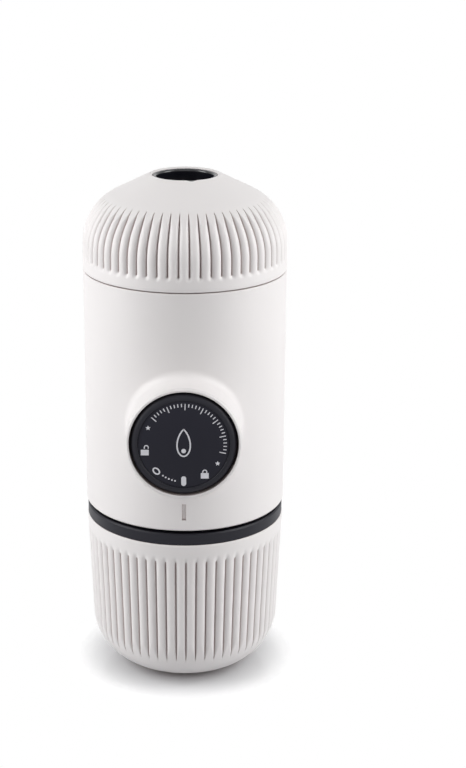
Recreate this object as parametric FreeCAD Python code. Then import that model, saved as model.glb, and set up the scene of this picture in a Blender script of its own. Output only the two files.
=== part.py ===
import FreeCAD, Part
import math
import os

from FreeCAD import Vector

# Hand-held pump espresso maker, millimetres. The axis of the body is Z, the resting face
# of the cup is z = 0 and the pump knob points to -Y.

# Overall sizes
overall_height = 156.5
body_radius = 30.7
collar_stand = 9.3           # of the knob's collar, out of the body
knob_stand = 0.3             # of the locked knob's front rim, out of the collar
collar_reach = body_radius + collar_stand
knob_reach = collar_reach + knob_stand

# Heights of the parting lines
cup_top = 49.85
band_bottom = 49.95
band_top = 53.5
body_bottom = 54.6
body_top = 127.8
tank_bottom = 128.1
pump_height = 85.6           # height of the pump axis

# General clearances
running_gap = 0.3            # between pieces that slide or turn on each other
seat_gap = 0.1               # between pieces that rest on each other
fit_gap = 0.05               # between pieces fixed in each other

# Drinking cup
cup_inset = 0.15             # of the rim, from the body's side
cup_taper_width = 1.4        # from the rim to where the wall meets the bottom corner
cup_rim_radius = body_radius - cup_inset
cup_heel_radius = cup_rim_radius - cup_taper_width
cup_corner_radius = 17.0
cup_wall = 1.9
cup_floor = 2.2
foot_groove_radius = 9.0
foot_groove_width = 1.2
foot_groove_depth = 0.5

# Flutes round the cup and the tank
flute_count = 60
flute_depth = 0.75
flute_width = 2.0            # at the surface
flute_end = 1.9              # length of the slope at a flute's closed end
flute_spare = 0.6            # how far the cutter stands out of the surface
cup_flute_top = 46.2
cup_flute_bottom = 8.0
cup_flute_phase = 1.2        # degrees from the front to the nearest flute
tank_flute_bottom = 131.0
tank_flute_turn = 33.0       # degrees of the shoulder that a flute follows at full depth
tank_flute_phase = 3.0
tank_flute_run_out = 7.0

# Water tank
tank_wall = 1.8
shoulder_radius = 16.4
crown_slope = 26.6           # degrees from horizontal
rim_crest_radius = 10.4
recess_radius = 9.75         # round opening in the crown
rim_edge_drop = 0.5
vessel_wall = 1.5
neck_inset = 5.5             # of the neck, from the body's side
neck_wall = 2.3
neck_outer_radius = body_radius - neck_inset
neck_inner_radius = neck_outer_radius - neck_wall
neck_bottom = 106.4
neck_clearance = 0.5         # radial, in the socket: room for the thread
well_radius = 10.2           # pocket of the air valve
well_wall = 1.6
well_depth = 8.9             # below the top of the tank
well_floor_top = overall_height - well_depth
well_floor = 1.8
air_stem_radius = 1.6
air_disc = 0.8               # thickness of the valve's disc and barb
air_disc_radius = 4.6
air_hole_radius = 0.6
air_hole_pitch = 3.0
air_hole_count = 4
key_angle = -78.7            # degrees from +X, where the guard's key shows in the rim
key_width = 4.4
key_reach = 10.8
guard_petals = 6
guard_petal_tip = 7.4
guard_petal_root = 3.4
guard_petal_height = 1.3
guard_plate = 1.1
guard_ring_wall = 1.2
guard_slot_width = 1.0

# Ring seals
tank_seal_section = 0.8
tank_seal_height = 110.4
cup_ring_section = 0.7
cup_ring_height = 46.6

# Main body
shell_wall = 2.4
collar_radius = 17.0
collar_length = 23.5
collar_inner_end = collar_reach - collar_length
collar_fillet = 3.0
collar_edge = 0.6
shell_edge = 0.5             # chamfer of the shell's lower rim, halved at the upper rim
index_bottom = 58.2
index_top = 63.3
index_width = 1.2
index_depth = 0.5

# Upper chassis, which takes the tank
socket_floor_bottom = 103.4
socket_floor = 2.5
socket_top = 127.6
post_radius = 3.6
post_sides = 6
post_inset = 7.5
post_circle = body_radius - post_inset
post_angles = (40.0, 140.0, 195.0, 345.0)

# Lower chassis, which takes the brew head
block_gap = 0.4              # of the block's lower rim, above the shell's
block_bottom = body_bottom + block_gap
block_clearance = 19.2       # below the pump axis
block_roof = 4.8
block_top = pump_height - block_clearance
block_ceiling = block_top - block_roof
spread_depth = 0.8

# Chassis screws
screw_radius = 1.3
screw_head_radius = 2.4
screw_head_height = 1.6
screw_length = 12.0
screw_sides = 6

# Pump
knob_radius = 15.5
knob_bore_radius = 15.9
knob_wall = 1.9
knob_inner_end = 8.0         # behind the body axis
knob_edge = 1.4
face_radius = 13.2
face_pocket = 1.4
face_thickness = 1.2
web_thickness = 3.6
lug_count = 3
lug_length = 4.0
lug_width = 5.0
lug_reach = 1.7              # beyond the sleeve
bore_radius = 8.0            # pump bore
liner_wall = 1.0
liner_front = -8.0           # distances along the pump axis, positive to the back
barrel_inset = 5.2           # of the barrel's back, from the body's side
barrel_cap = 3.0
barrel_front = 1.0
barrel_back = body_radius - barrel_inset
barrel_radius = 11.0
chamber_end = barrel_back - barrel_cap
boss_radius = 6.0
piston_rest = 2.5            # between the piston and the chamber's end
piston_back = chamber_end - piston_rest
piston_length = 6.0
piston_gap = 0.06
piston_seal_section = 0.8
rod_radius = 4.5
knob_screw_radius = 2.0
knob_screw_head = 4.0
knob_screw_head_height = 1.8
knob_screw_length = 12.0
spring_radius = 11.4
spring_wire = 0.75           # half the width of the flat wire
spring_turns = 4

# Water ducts
duct_inset = 3.5             # of both valves' axis, from the chamber's end
duct_offset = chamber_end - duct_inset
duct_radius = 1.6
feed_run = 7.0               # from the valves' axis to the inlet above the screen
feed_radius = duct_offset - feed_run

# Valves
valve_flange_radius = 3.0
valve_flange = 0.9
valve_bill_width = 3.6
valve_bill = 3.6
valve_wall = 0.6
valve_bore = 1.2
valve_pocket_depth = 6.2
duct_seal_radius = 4.6
duct_seal_thickness = 1.2
strainer_radius = 4.2
strainer_thickness = 0.6
strainer_hole = 0.5
strainer_pitch = 2.2

# Brew head
head_neck_inset = 4.7        # of the neck, from the body's side
head_neck_wall = 4.3
head_neck_radius = body_radius - head_neck_inset
head_neck_top = 58.95
band_edge = 0.4
band_inset = 0.35
band_radius = body_radius - band_inset
skirt_clearance = 0.9
skirt_radius = cup_rim_radius - cup_wall - skirt_clearance
skirt_bottom = 43.6
pocket_radius = head_neck_radius - head_neck_wall
pocket_bottom = 41.6
funnel_bottom = 31.0
head_wall = 2.2
spout_radius = 6.0
spout_bottom = 24.0
nozzle_radius = 8.2
nozzle_bottom = 17.0
nozzle_top = 27.0
nozzle_bore = 1.6
nozzle_tip_radius = 5.0
nozzle_taper = 4.0

# Filter basket, screen and gasket
basket_rim_inset = 1.2
basket_clearance = 0.5
basket_taper_width = 0.8
basket_rim_radius = head_neck_radius - basket_rim_inset
basket_radius = pocket_radius - basket_clearance
basket_foot_radius = basket_radius - basket_taper_width
basket_sheet = 0.5
basket_bottom = 42.4
basket_bend = 1.2
hole_radius = 0.6
hole_ring_step = 7.2
hole_rings = 2
hole_sides = 6
screen_radius = basket_radius - basket_sheet - seat_gap
spread_inset = 2.1
spread_radius = screen_radius - spread_inset
screen_thickness = 0.7
screen_screw_radius = 1.5
screen_screw_head = 3.2
screen_screw_head_height = 1.3
screen_screw_spare = 1.2     # of the block above the screw's end
screen_slot = 0.7
gasket_inner_radius = pocket_radius + seat_gap


def outline(start, *steps):
    """Closed wire in the XZ plane. A step is a point (r, z), or a pair of points for an arc."""
    edges = []
    here = start
    for step in steps + (start,):
        if isinstance(step[0], tuple):
            middle, end = step
            curve = Part.Arc(Vector(here[0], 0, here[1]), Vector(middle[0], 0, middle[1]),
                             Vector(end[0], 0, end[1]))
            edges.append(curve.toShape())
            here = end
        elif step != here:
            edges.append(Part.makeLine(Vector(here[0], 0, here[1]), Vector(step[0], 0, step[1])))
            here = step
    return Part.Wire(edges)


def turned(start, *steps):
    """Solid of revolution about Z."""
    return Part.Face(outline(start, *steps)).revolve(Vector(0, 0, 0), Vector(0, 0, 1), 360)


def rod(radius, low, high, x=0.0, y=0.0):
    """Upright cylinder between two heights."""
    return Part.makeCylinder(radius, high - low, Vector(x, y, low))


def tube(outer, inner, low, high):
    return rod(outer, low, high).cut(rod(inner, low, high))


def prism(sides, radius, low, high, x=0.0, y=0.0):
    """Upright prism. Small hidden holes and shanks are prisms, which keeps the model light."""
    corners = [Vector(x, y, low) + Vector(*polar(radius, 360.0 * i / sides), 0) for i in range(sides + 1)]
    return Part.Face(Part.makePolygon(corners)).extrude(Vector(0, 0, high - low))


def square_ring(radius, section, height):
    """Ring seal. section is half of its width and half of its height."""
    return tube(radius + section, radius - section, height - section, height + section)


def around(shape, angle):
    copy = shape.copy()
    copy.rotate(Vector(0, 0, 0), Vector(0, 0, 1), angle)
    return copy


def copies(shape, count, first=0.0):
    return [around(shape, first + 360.0 * i / count) for i in range(count)]


def onto_pump(shape):
    """Lays a shape made along Z into the pump: its z becomes the distance in front of the axis."""
    copy = shape.copy()
    copy.rotate(Vector(0, 0, 0), Vector(1, 0, 0), 90)
    copy.translate(Vector(0, 0, pump_height))
    return copy


def polar(radius, degrees):
    angle = math.radians(degrees)
    return radius * math.cos(angle), radius * math.sin(angle)


class Crown:
    """Outline of the tank's shoulder and crown, set in from the outer surface by inset."""

    def __init__(self, inset):
        self.turn = 90.0 - crown_slope
        self.radius = shoulder_radius - inset
        self.side = body_radius - inset
        self.centre = body_radius - shoulder_radius
        self.rise = math.tan(math.radians(crown_slope))
        end_r, end_z = polar(shoulder_radius, self.turn)
        self.start = overall_height - end_z - (self.centre + end_r - rim_crest_radius) * self.rise

    def at(self, degrees):
        """Point of the shoulder arc, degrees up from its lower end."""
        r, z = polar(self.radius, degrees)
        return self.centre + r, self.start + z

    def slope(self, r):
        """Point of the crown's slope at radius r."""
        end = self.at(self.turn)
        return r, end[1] + (end[0] - r) * self.rise


def flute_cutter(stations):
    """Cutter of a flute with slanted sides.

    A station is a point of the valley (r, z) and the direction out of the wall, in degrees.
    """
    reach = flute_depth + flute_spare
    mouth = flute_width * reach / flute_depth
    sections = []
    for r, z, facing in stations:
        out_r, out_z = polar(reach, facing)
        valley = Vector(r, 0, z)
        edges = [Vector(r + out_r, side * mouth / 2, z + out_z) for side in (1, -1)]
        sections.append(Part.makePolygon([valley] + edges + [valley]))
    return Part.makeLoft(sections, True, True)


def station(point, facing, lift):
    """Station on the wall at point, with the valley lift above the surface."""
    r, z = polar(lift, facing)
    return point[0] + r, point[1] + z, facing


def drinking_cup():
    centre = cup_heel_radius - cup_corner_radius
    mid_r, mid_z = polar(cup_corner_radius, -45.0)
    in_radius = cup_corner_radius - cup_wall
    in_mid_r, in_mid_z = polar(in_radius, -45.0)
    in_centre_z = cup_floor + in_radius
    foot_in = foot_groove_radius - foot_groove_width / 2
    foot_out = foot_in + foot_groove_width
    cup = turned(
        (0, 0), (foot_in, 0), (foot_in, foot_groove_depth), (foot_out, foot_groove_depth), (foot_out, 0),
        (centre, 0),
        ((centre + mid_r, cup_corner_radius + mid_z), (cup_heel_radius, cup_corner_radius)),
        (cup_rim_radius, cup_top), (cup_rim_radius - cup_wall, cup_top),
        (cup_heel_radius - cup_wall, in_centre_z),
        ((centre + in_mid_r, in_centre_z + in_mid_z), (centre, cup_floor)), (0, cup_floor))

    lean = (cup_rim_radius - cup_heel_radius) / (cup_top - cup_corner_radius)
    facing = -math.degrees(math.atan(lean))

    def on_wall(z):
        return cup_heel_radius + (z - cup_corner_radius) * lean, z

    cutter = flute_cutter([
        station(on_wall(cup_flute_top), facing, fit_gap),
        station(on_wall(cup_flute_top - flute_end), facing, -flute_depth),
        station(on_wall(cup_flute_bottom), facing, -flute_depth)])
    return cup.cut(copies(cutter, flute_count, cup_flute_phase - 90.0))


def tank_shell():
    outer, inner = Crown(0.0), Crown(tank_wall)
    shell = turned(
        (inner.side, tank_bottom), (outer.side, tank_bottom), outer.at(0),
        (outer.at(outer.turn / 2), outer.at(outer.turn)), outer.slope(rim_crest_radius),
        (recess_radius, overall_height - rim_edge_drop), inner.slope(recess_radius),
        inner.at(inner.turn), (inner.at(inner.turn / 2), inner.at(0)))

    def on_side(z):
        return outer.side, z

    leave = polar(tank_flute_run_out, tank_flute_turn + 90.0)
    last = outer.at(tank_flute_turn)
    past = (last[0] + leave[0], last[1] + leave[1])
    cutter = flute_cutter([
        station(on_side(tank_flute_bottom), 0.0, fit_gap),
        station(on_side(tank_flute_bottom + flute_end), 0.0, -flute_depth),
        station(outer.at(tank_flute_turn / 3), tank_flute_turn / 3, -flute_depth),
        station(last, tank_flute_turn, -flute_depth),
        station(past, tank_flute_turn, -flute_depth)])
    shell = shell.cut(copies(cutter, flute_count, tank_flute_phase))
    return shell.cut(key_tab(key_width + 2 * fit_gap, key_reach + fit_gap, overall_height))


def key_tab(width, reach, top):
    """Round-ended tab that points outwards from the air valve's pocket at the key angle."""
    depth = overall_height - well_floor_top
    bar = Part.makeBox(reach - width / 2, width, depth, Vector(0, -width / 2, top - depth))
    end = rod(width / 2, top - depth, top, reach - width / 2)
    return around(bar.fuse(end), key_angle)


def tank_vessel():
    outer = Crown(tank_wall + seat_gap)
    inner = Crown(tank_wall + seat_gap + vessel_wall)
    well_outer = well_radius + well_wall
    shoulder = tank_bottom + seat_gap
    groove_low, groove_high = seal_groove_heights(tank_seal_height, tank_seal_section)
    groove_radius = tank_seal_radius() - tank_seal_section - fit_gap
    vessel = turned(
        (neck_outer_radius, neck_bottom), (neck_outer_radius, groove_low), (groove_radius, groove_low),
        (groove_radius, groove_high), (neck_outer_radius, groove_high),
        (neck_outer_radius, shoulder), (outer.side, shoulder), outer.at(0),
        outer.at(outer.turn), outer.slope(well_radius),
        (well_radius, well_floor_top), (0, well_floor_top), (0, well_floor_top - well_floor),
        (well_outer, well_floor_top - well_floor), inner.slope(well_outer), inner.at(inner.turn),
        inner.at(0), (inner.side, shoulder + vessel_wall),
        (neck_inner_radius, shoulder + vessel_wall), (neck_inner_radius, neck_bottom))
    floor = (well_floor_top - well_floor, well_floor_top)
    vent = prism(hole_sides, air_hole_radius, *floor, air_hole_pitch)
    stem = rod(air_stem_radius + fit_gap, *floor)
    key = key_tab(key_width + 2 * fit_gap, key_reach + fit_gap, overall_height)
    return vessel.cut([stem, key] + copies(vent, air_hole_count, 45.0))


def seal_groove_heights(height, section):
    half = section + running_gap / 2
    return height - half, height + half


def socket_bore():
    return neck_outer_radius + neck_clearance


def tank_seal_radius():
    return socket_bore() - tank_seal_section - fit_gap


def tank_seal():
    return square_ring(tank_seal_radius(), tank_seal_section, tank_seal_height)


def guard_floor():
    """Height of the guard's plate, clear of the air valve's barb."""
    return well_floor_top + air_disc + 2 * seat_gap


def vent_guard():
    """Cover of the air valve, with petals on its plate and the key that shows in the rim."""
    low = guard_floor()
    high = low + guard_plate
    outer = well_radius - seat_gap
    top = Crown(tank_wall).slope(well_radius)[1] - seat_gap
    body = turned(
        (0, low), (outer - guard_ring_wall, low), (outer - guard_ring_wall, well_floor_top),
        (outer, well_floor_top), (outer, top), (outer - guard_ring_wall, top),
        (outer - guard_ring_wall, high), (0, high))
    slot = Part.makeBox(guard_petal_root, guard_slot_width, 2 * guard_plate,
                        Vector(guard_petal_root + seat_gap, -guard_slot_width / 2, low - guard_plate / 2))
    key = key_tab(key_width, key_reach, overall_height - rim_edge_drop / 2)
    key = key.cut(rod(outer - guard_ring_wall / 2, well_floor_top - well_floor, overall_height))
    key = key.common(rod(key_reach + seat_gap, high, overall_height))
    return body.cut(copies(slot, guard_petals, 30.0)).multiFuse([petals(high), key]).removeSplitter()


def petals(low):
    corners = []
    for i in range(guard_petals):
        corners.append(Vector(*polar(guard_petal_tip, 360.0 * i / guard_petals), low))
        corners.append(Vector(*polar(guard_petal_root, 360.0 * (i + 0.5) / guard_petals), low))
    star = Part.Face(Part.makePolygon(corners + corners[:1]))
    return star.extrude(Vector(0, 0, guard_petal_height))


def vent_valve():
    """Valve of soft rubber: sealing disc below the well's floor, stem through it and barb above."""
    under = well_floor_top - well_floor
    barb = air_stem_radius + air_disc / 2
    return turned(
        (0, under - air_disc), (air_disc_radius, under - air_disc / 2), (air_disc_radius, under),
        (air_stem_radius, under), (air_stem_radius, well_floor_top), (barb, well_floor_top),
        (air_stem_radius, well_floor_top + air_disc), (0, well_floor_top + air_disc))


def body_shell():
    """White outer tube with the collar that the knob slides in."""
    shell = turned(
        (0, body_bottom), (body_radius - shell_edge, body_bottom), (body_radius, body_bottom + shell_edge),
        (body_radius, body_top - shell_edge / 2), (body_radius - shell_edge / 2, body_top), (0, body_top))
    collar = onto_pump(rod(collar_radius, collar_inner_end, collar_reach))
    joined = shell.fuse(collar)
    joined = joined.makeFillet(collar_fillet, [e for e in joined.Edges if is_collar_seam(e)])
    rim = [e for e in joined.Edges if is_circle(e, collar_radius)]
    joined = joined.makeChamfer(collar_edge, rim)
    hollow = rod(body_radius - shell_wall, body_bottom, body_top)
    joined = joined.cut(hollow.cut(onto_pump(rod(collar_radius, collar_inner_end, collar_reach))))
    bore = onto_pump(rod(knob_bore_radius, collar_inner_end, collar_reach))
    index = Part.makeBox(index_width, index_depth, index_top - index_bottom,
                         Vector(-index_width / 2, -body_radius, index_bottom))
    return joined.cut([bore, index])


def is_collar_seam(edge):
    points = edge.discretize(7)
    near_pump = all(abs(math.hypot(p.x, p.z - pump_height) - collar_radius) < 0.01 for p in points)
    near_body = all(abs(math.hypot(p.x, p.y) - body_radius) < 0.01 for p in points)
    return near_pump and near_body and points[0].y < 0


def is_circle(edge, radius):
    return (edge.Curve.TypeId == "Part::GeomCircle" and abs(edge.Curve.Radius - radius) < 0.01
            and edge.CenterOfMass.y < fit_gap - collar_reach)


def tank_socket():
    """Upper chassis: cup that the tank's neck turns in, on four posts."""
    outer = chassis_radius()
    floor_top = socket_floor_bottom + socket_floor
    cup = turned((0, socket_floor_bottom), (outer, socket_floor_bottom), (outer, socket_top),
                 (socket_bore(), socket_top), (socket_bore(), floor_top), (0, floor_top))
    posts = [prism(post_sides, post_radius, block_top, socket_floor_bottom, *polar(post_circle, a))
             for a in post_angles]
    pilot_top = block_ceiling + screw_head_height + screw_length + running_gap
    pilots = [prism(screw_sides, screw_radius + fit_gap, block_top, pilot_top, *polar(post_circle, a))
              for a in post_angles]
    inlet = rod(duct_radius, socket_floor_bottom, floor_top, 0, duct_offset)
    recess = rod(strainer_radius + fit_gap, floor_top - strainer_thickness, floor_top, 0, duct_offset)
    return cup.multiFuse(posts).removeSplitter().cut(pilots + [inlet, recess])


def chassis_radius():
    return body_radius - shell_wall - seat_gap


def inlet_strainer():
    top = socket_floor_bottom + socket_floor
    low = top - strainer_thickness
    disc = rod(strainer_radius, low, top)
    hole = prism(hole_sides, strainer_hole, low, top, strainer_pitch)
    disc = disc.cut(copies(hole, hole_sides) + [prism(hole_sides, strainer_hole, low, top)])
    disc.translate(Vector(0, duct_offset, 0))
    return disc


def duckbill(top):
    """Rubber valve with its flange's upper face at top and its flat bill pointing down."""
    low = top - valve_flange - valve_bill
    root = top - valve_flange
    half = valve_bill_width / 2
    flange = rod(valve_flange_radius, root, top, 0, duct_offset)
    bill = wedge(half, root, half, low, valve_wall)
    hollow = wedge(half - valve_wall, root, valve_wall, low + valve_wall, fit_gap)
    bore = rod(valve_bore, root, top, 0, duct_offset)
    return flange.fuse(bill).removeSplitter().cut([hollow, bore])


def wedge(half_top, top, half_low, low, half_edge):
    """Square block at top that narrows to an edge at low."""
    sections = []
    for x, y, z in ((half_top, half_top, top), (half_low, half_edge, low)):
        corners = [Vector(i * x, duct_offset + j * y, z) for i, j in ((-1, -1), (1, -1), (1, 1), (-1, 1))]
        sections.append(Part.makePolygon(corners + corners[:1]))
    return Part.makeLoft(sections, True, True)


def inlet_valve():
    return duckbill(socket_floor_bottom - duct_seal_thickness - fit_gap)


def outlet_valve():
    return duckbill(block_top + valve_pocket_depth)


def pump_block():
    """Middle of the chassis: barrel across the body, and the boss with both water ducts."""
    barrel = onto_pump(rod(barrel_radius, -barrel_back, -barrel_front))
    boss = rod(boss_radius, block_top, socket_floor_bottom, 0, duct_offset)
    body = barrel.fuse(boss).removeSplitter()
    chamber = onto_pump(rod(bore_radius + liner_wall + fit_gap, -chamber_end, -barrel_front))
    flange = valve_flange_radius + fit_gap
    seat_top = socket_floor_bottom - duct_seal_thickness
    return body.cut([
        chamber,
        rod(duct_seal_radius + fit_gap, seat_top, socket_floor_bottom, 0, duct_offset),
        rod(flange, seat_top - valve_pocket_depth, seat_top, 0, duct_offset),
        rod(duct_seal_radius + fit_gap, block_top, block_top + duct_seal_thickness, 0, duct_offset),
        rod(flange, block_top + duct_seal_thickness, block_top + valve_pocket_depth, 0, duct_offset),
        rod(duct_radius, block_top, socket_floor_bottom, 0, duct_offset)])


def duct_seals():
    """Flat rings that seal the ducts at the top and the bottom of the pump block."""
    lows = (block_top, socket_floor_bottom - duct_seal_thickness)
    rings = [tube(duct_seal_radius, duct_radius + running_gap, low + fit_gap / 2,
                  low + duct_seal_thickness - fit_gap / 2) for low in lows]
    seals = Part.makeCompound(rings)
    seals.translate(Vector(0, duct_offset, 0))
    return seals


def pump_cylinder():
    liner = onto_pump(tube(bore_radius + liner_wall, bore_radius, -chamber_end, -liner_front))
    port = prism(hole_sides, duct_radius, pump_height - 2 * bore_radius, pump_height + 2 * bore_radius,
                 0, chamber_end - duct_radius)
    return liner.cut(port)


def web_back():
    """Distance from the body axis to the back of the knob's web, where the rod ends."""
    return knob_reach - face_pocket - web_thickness


def plunger_rod():
    front = web_back()
    seal_low, seal_high = seal_groove_heights(piston_length / 2 - piston_back, piston_seal_section)
    groove = piston_seal_radius() - piston_seal_section - fit_gap
    head = bore_radius - piston_gap
    piston_front = piston_length - piston_back
    shaft = turned(
        (0, -piston_back), (head, -piston_back), (head, seal_low), (groove, seal_low), (groove, seal_high),
        (head, seal_high), (head, piston_front), (rod_radius, piston_front), (rod_radius, front), (0, front))
    pilot = rod(knob_screw_radius, front - knob_screw_length, front)
    return onto_pump(shaft.cut(pilot))


def piston_seal_radius():
    return bore_radius - piston_gap / 2 - piston_seal_section


def piston_seal():
    middle = piston_length / 2 - piston_back
    return onto_pump(square_ring(piston_seal_radius(), piston_seal_section, middle))


def return_spring():
    """Spring of flat wire round the cylinder, in half turns."""
    low = spring_wire + fit_gap - barrel_front
    high = web_back() - spring_wire - 2 * fit_gap
    rise = (high - low) / spring_turns

    def point(turns):
        x, y = polar(spring_radius, 360.0 * turns)
        return Vector(x, y, low + rise * turns)

    halves = [Part.Arc(point(i / 2), point(i / 2 + 0.25), point(i / 2 + 0.5)).toShape()
              for i in range(2 * spring_turns)]
    corners = [Vector(spring_radius + i * spring_wire, 0, low + j * spring_wire)
               for i, j in ((-1, -1), (1, -1), (1, 1), (-1, 1), (-1, -1))]
    return onto_pump(Part.Wire(halves).makePipeShell([Part.makePolygon(corners)], True, False))


def knob_screw():
    seat = knob_reach - face_pocket - knob_screw_head_height - seat_gap
    head = rod(knob_screw_head, seat, seat + knob_screw_head_height)
    shank = rod(knob_screw_radius - fit_gap, seat - knob_screw_length + knob_screw_head_height, seat)
    socket = prism(screw_sides, knob_screw_radius, seat + knob_screw_head_height / 3,
                   seat + knob_screw_head_height)
    return onto_pump(head.fuse(shank).removeSplitter().cut(socket))


def knob_sleeve():
    """Knob: rim, web that the rod is screwed to, long skirt and the lugs that lock it."""
    front = knob_reach
    inner = knob_radius - knob_wall
    floor = front - face_pocket
    pocket = face_radius + seat_gap
    corner = knob_radius - knob_edge
    lip = (corner - pocket) / 2
    sleeve = turned(
        (0, web_back()), (inner, web_back()), (inner, -knob_inner_end), (knob_radius, -knob_inner_end),
        (knob_radius, front - knob_edge), (corner, front),
        (pocket + lip, front), (pocket, front - lip), (pocket, floor), (0, floor))
    end = lug_length - knob_inner_end
    turn = math.degrees(lug_width / knob_radius)
    section = outline((inner, -knob_inner_end), (knob_radius + lug_reach, -knob_inner_end),
                      (knob_radius + lug_reach, end), (inner, end))
    lug = around(Part.Face(section).revolve(Vector(0, 0, 0), Vector(0, 0, 1), turn), -turn / 2)
    sleeve = sleeve.multiFuse(copies(lug, lug_count, 90.0)).removeSplitter()
    head = rod(knob_screw_head + seat_gap, floor - knob_screw_head_height - seat_gap, floor)
    hole = rod(knob_screw_radius + fit_gap, web_back(), floor)
    return onto_pump(sleeve.cut([head, hole]))


def knob_face():
    low = knob_reach - face_pocket
    high = low + face_thickness
    edge = face_thickness / 4
    return onto_pump(turned((0, low), (face_radius, low), (face_radius, high - edge),
                            (face_radius - edge, high), (0, high)))


def brew_block():
    """Lower chassis: ceiling of the brew chamber, with the water duct to the screen."""
    block = turned(
        (0, block_ceiling), (head_bore(), block_ceiling), (head_bore(), block_bottom),
        (chassis_radius(), block_bottom), (chassis_radius(), block_top), (0, block_top))
    run_low = block_ceiling + spread_depth + duct_radius / 2
    cuts = [rod(spread_radius, block_ceiling, block_ceiling + spread_depth),
            rod(duct_radius, run_low, block_top, 0, duct_offset),
            prism(hole_sides, duct_radius, block_ceiling, run_low + duct_radius, 0, feed_radius),
            Part.makeBox(duct_radius, duct_offset - feed_radius, duct_radius,
                         Vector(-duct_radius / 2, feed_radius, run_low)),
            prism(screw_sides, screen_screw_radius + fit_gap, block_ceiling,
                  screen_screw_top() + running_gap)]
    for angle in post_angles:
        x, y = polar(post_circle, angle)
        head_top = block_ceiling + screw_head_height
        cuts.append(prism(screw_sides, screw_head_radius + seat_gap, block_ceiling, head_top, x, y))
        cuts.append(prism(screw_sides, screw_radius + fit_gap, head_top, block_top, x, y))
    return block.cut(cuts)


def head_bore():
    return head_neck_radius + running_gap


def screen_screw_top():
    return block_top - screen_screw_spare


def chassis_screws():
    screws = []
    for angle in post_angles:
        x, y = polar(post_circle, angle)
        head_top = block_ceiling + screw_head_height
        head = prism(screw_sides, screw_head_radius, block_ceiling + fit_gap, head_top, x, y)
        shank = prism(screw_sides, screw_radius, head_top, head_top + screw_length, x, y)
        screws.append(head.fuse(shank))
    return Part.makeCompound(screws)


def hole_pattern(low, high):
    """Rings of small holes round the axis, with six more in each ring."""
    holes = []
    for n in range(1, hole_rings + 1):
        hole = prism(hole_sides, hole_radius, low, high, hole_ring_step * n)
        holes += copies(hole, hole_sides * n, 360.0 / (4 * hole_sides * n))
    return holes


def shower_screen():
    low = block_ceiling - screen_thickness
    hole = prism(screw_sides, screen_screw_radius + fit_gap, low, block_ceiling)
    return rod(screen_radius, low, block_ceiling).cut(hole_pattern(low, block_ceiling) + [hole])


def screen_screw():
    seat = block_ceiling - screen_thickness
    low = seat - screen_screw_head_height
    head = turned((0, low), (screen_screw_radius + screen_screw_head / 2, low),
                  (screen_screw_head, seat - screen_screw_head_height / 2), (screen_screw_head, seat),
                  (0, seat))
    shank = prism(screw_sides, screen_screw_radius, seat, screen_screw_top())
    slot = Part.makeBox(2 * screen_screw_head, screen_slot, screen_slot,
                        Vector(-screen_screw_head, -screen_slot / 2, low))
    return head.fuse(shank).cut(slot)


def basket_rim_low():
    return head_neck_top + fit_gap


def basket_rim_top():
    return basket_rim_low() + basket_sheet


def brew_gasket():
    low = basket_rim_top() + fit_gap
    return tube(head_bore() - seat_gap, gasket_inner_radius, low, block_ceiling)


def filter_basket():
    """Basket of thin sheet that hangs in the portafilter by its rim."""
    floor = basket_bottom + basket_sheet
    heel = basket_bottom + basket_bend
    basket = turned(
        (0, basket_bottom), (basket_foot_radius - basket_bend, basket_bottom), (basket_foot_radius, heel),
        (basket_radius, basket_rim_low()), (basket_rim_radius, basket_rim_low()),
        (basket_rim_radius, basket_rim_top()), (basket_radius - basket_sheet, basket_rim_top()),
        (basket_foot_radius - basket_sheet, heel),
        (basket_foot_radius - basket_bend - basket_sheet / 2, floor), (0, floor))
    return basket.cut(hole_pattern(basket_bottom, floor))


def portafilter():
    """Holder of the basket. Its flange is the dark band that shows between body and cup."""
    low, high = seal_groove_heights(cup_ring_height, cup_ring_section)
    groove = cup_ring_radius() - cup_ring_section - fit_gap
    spout_bore = spout_radius - head_wall
    return turned(
        (pocket_radius, head_neck_top), (head_neck_radius, head_neck_top), (head_neck_radius, band_top),
        (band_radius - band_edge, band_top), (band_radius, band_top - band_edge),
        (band_radius, band_bottom), (skirt_radius, band_bottom), (skirt_radius, high), (groove, high),
        (groove, low), (skirt_radius, low), (skirt_radius, skirt_bottom),
        (pocket_radius + head_wall, skirt_bottom - head_wall),
        (spout_radius, funnel_bottom - head_wall), (spout_radius, spout_bottom), (spout_bore, spout_bottom),
        (spout_bore, funnel_bottom), (pocket_radius, pocket_bottom))


def cup_ring_radius():
    return cup_rim_radius - cup_wall - fit_gap - cup_taper() - cup_ring_section


def cup_taper():
    """How much narrower the cup is at the ring than at its rim."""
    lean = (cup_rim_radius - cup_heel_radius) / (cup_top - cup_floor - cup_corner_radius + cup_wall)
    return (cup_top - cup_ring_height + cup_ring_section) * lean


def cup_ring():
    return square_ring(cup_ring_radius(), cup_ring_section, cup_ring_height)


def outlet_nozzle():
    """Rubber nozzle that is pushed over the portafilter's spout."""
    inside = spout_radius + fit_gap
    seat = spout_bottom - fit_gap
    return turned(
        (nozzle_bore, nozzle_bottom), (nozzle_tip_radius, nozzle_bottom),
        (nozzle_radius, nozzle_bottom + nozzle_taper), (nozzle_radius, nozzle_top), (inside, nozzle_top),
        (inside, seat), (spout_radius - head_wall, seat), (nozzle_bore, nozzle_bottom + nozzle_taper))


nodes = (
    drinking_cup, tank_shell, tank_vessel, vent_guard, vent_valve, tank_seal, body_shell, tank_socket,
    inlet_strainer, inlet_valve, outlet_valve, duct_seals, pump_block, pump_cylinder, plunger_rod,
    piston_seal, return_spring, knob_screw, knob_sleeve, knob_face, brew_block, chassis_screws,
    shower_screen, screen_screw, brew_gasket, filter_basket, portafilter, cup_ring, outlet_nozzle)

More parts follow.
